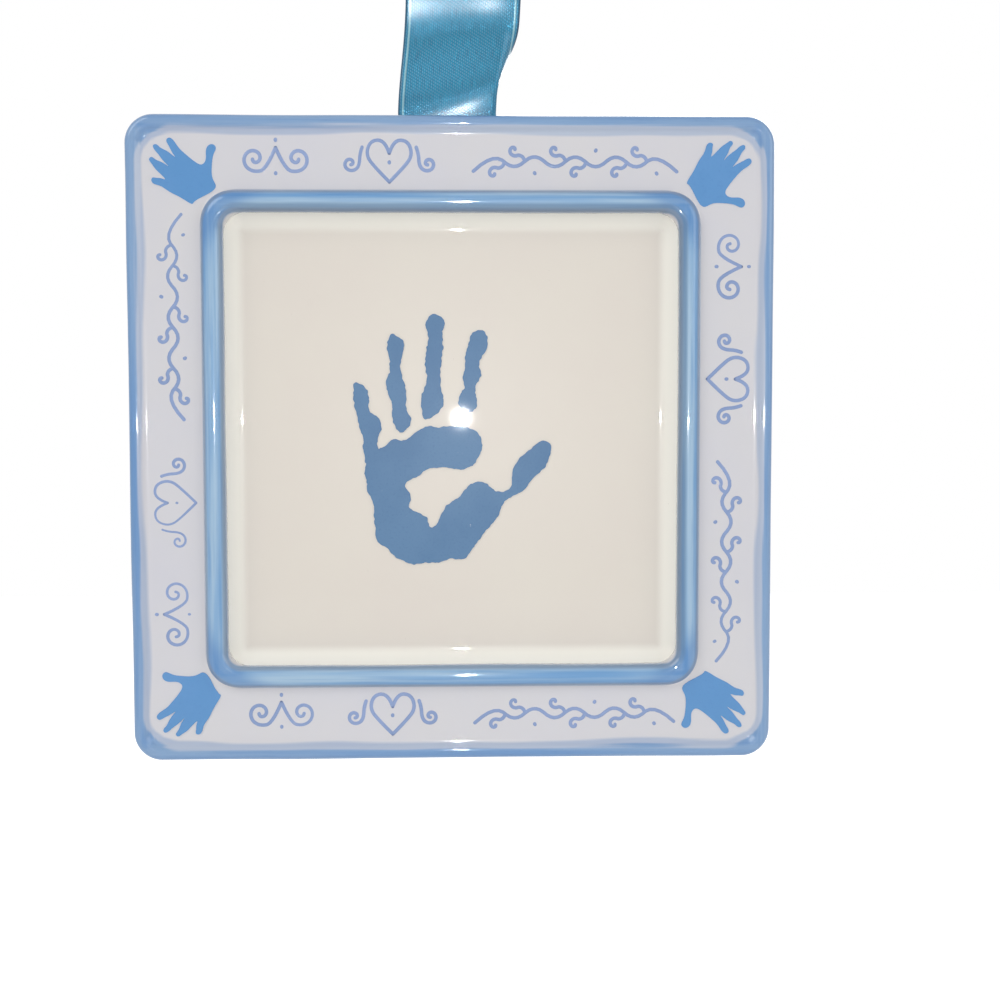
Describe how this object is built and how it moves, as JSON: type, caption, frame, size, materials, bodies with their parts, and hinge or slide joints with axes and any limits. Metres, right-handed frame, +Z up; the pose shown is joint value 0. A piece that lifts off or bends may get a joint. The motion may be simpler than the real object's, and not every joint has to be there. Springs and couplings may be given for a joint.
{
  "type": "baby handprint frame",
  "caption": "Square glazed ceramic frame round a cream tile with a blue hand print, hung by a satin ribbon loop, with a board locked in the back by turn buttons.",
  "frame": {"origin": "where the axis of the nail that carries the ribbon loop meets the wall plane", "axes": "+X to the viewer's right, +Y into the wall, +Z up; the picture side faces -Y"},
  "size_m": [0.178, 0.021, 0.288],
  "materials": {
    "border_glaze": "glossy clear glaze over white, blue brushed rim and bead",
    "tile_glaze": "glossy cream glaze",
    "print_paint": "blue underglaze paint, glossy",
    "motif_enamel": "blue enamel, glossy",
    "ribbon_satin": "woven satin",
    "felt": "pressed felt",
    "hardboard": "brown hardboard",
    "button_brass": "stamped, satin",
    "screw_steel": "zinc plated",
    "plug_plastic": "moulded",
    "staple_wire": "galvanised wire"
  },
  "bodies": {
    "hanger": {"ribbon_loop": "ribbon_satin"},
    "plaque": {"frame_surround": "border_glaze", "print_tile": "tile_glaze", "handprint": "print_paint", "tile_cushion": "felt", "backing_board": "hardboard", "button_screws": "screw_steel", "screw_plugs": "plug_plastic", "ribbon_tail_front": "ribbon_satin", "ribbon_tail_rear": "ribbon_satin", "ribbon_staples": "staple_wire", "corner_hand_upper_left": "motif_enamel", "wall_pad_upper_left": "felt", "corner_hand_upper_right": "motif_enamel", "wall_pad_upper_right": "felt", "corner_hand_lower_right": "motif_enamel", "wall_pad_lower_right": "felt", "corner_hand_lower_left": "motif_enamel", "wall_pad_lower_left": "felt"},
    "turn_button_upper_left": {"turn_button_upper_left": "button_brass"},
    "turn_button_upper_right": {"turn_button_upper_right": "button_brass"},
    "turn_button_lower_right": {"turn_button_lower_right": "button_brass"},
    "turn_button_lower_left": {"turn_button_lower_left": "button_brass"}
  },
  "joints": [
    {"name": "frame_swing", "type": "hinge", "parent": "hanger", "child": "plaque", "pos_m": [0, -0.00245, -0.106], "axis": [-1, 0, 0], "range_deg": [0, 60]},
    {"name": "turn_button_upper_left_turn", "type": "hinge", "parent": "plaque", "child": "turn_button_upper_left", "pos_m": [-0.07271, -0.00265, -0.159], "axis": [0, 1, 0], "range_deg": [-90, 90]},
    {"name": "turn_button_upper_right_turn", "type": "hinge", "parent": "plaque", "child": "turn_button_upper_right", "pos_m": [0.07271, -0.00265, -0.159], "axis": [0, 1, 0], "range_deg": [-90, 90]},
    {"name": "turn_button_lower_right_turn", "type": "hinge", "parent": "plaque", "child": "turn_button_lower_right", "pos_m": [0.07271, -0.00265, -0.229], "axis": [0, 1, 0], "range_deg": [-90, 90]},
    {"name": "turn_button_lower_left_turn", "type": "hinge", "parent": "plaque", "child": "turn_button_lower_left", "pos_m": [-0.07271, -0.00265, -0.229], "axis": [0, 1, 0], "range_deg": [-90, 90]}
  ]
}
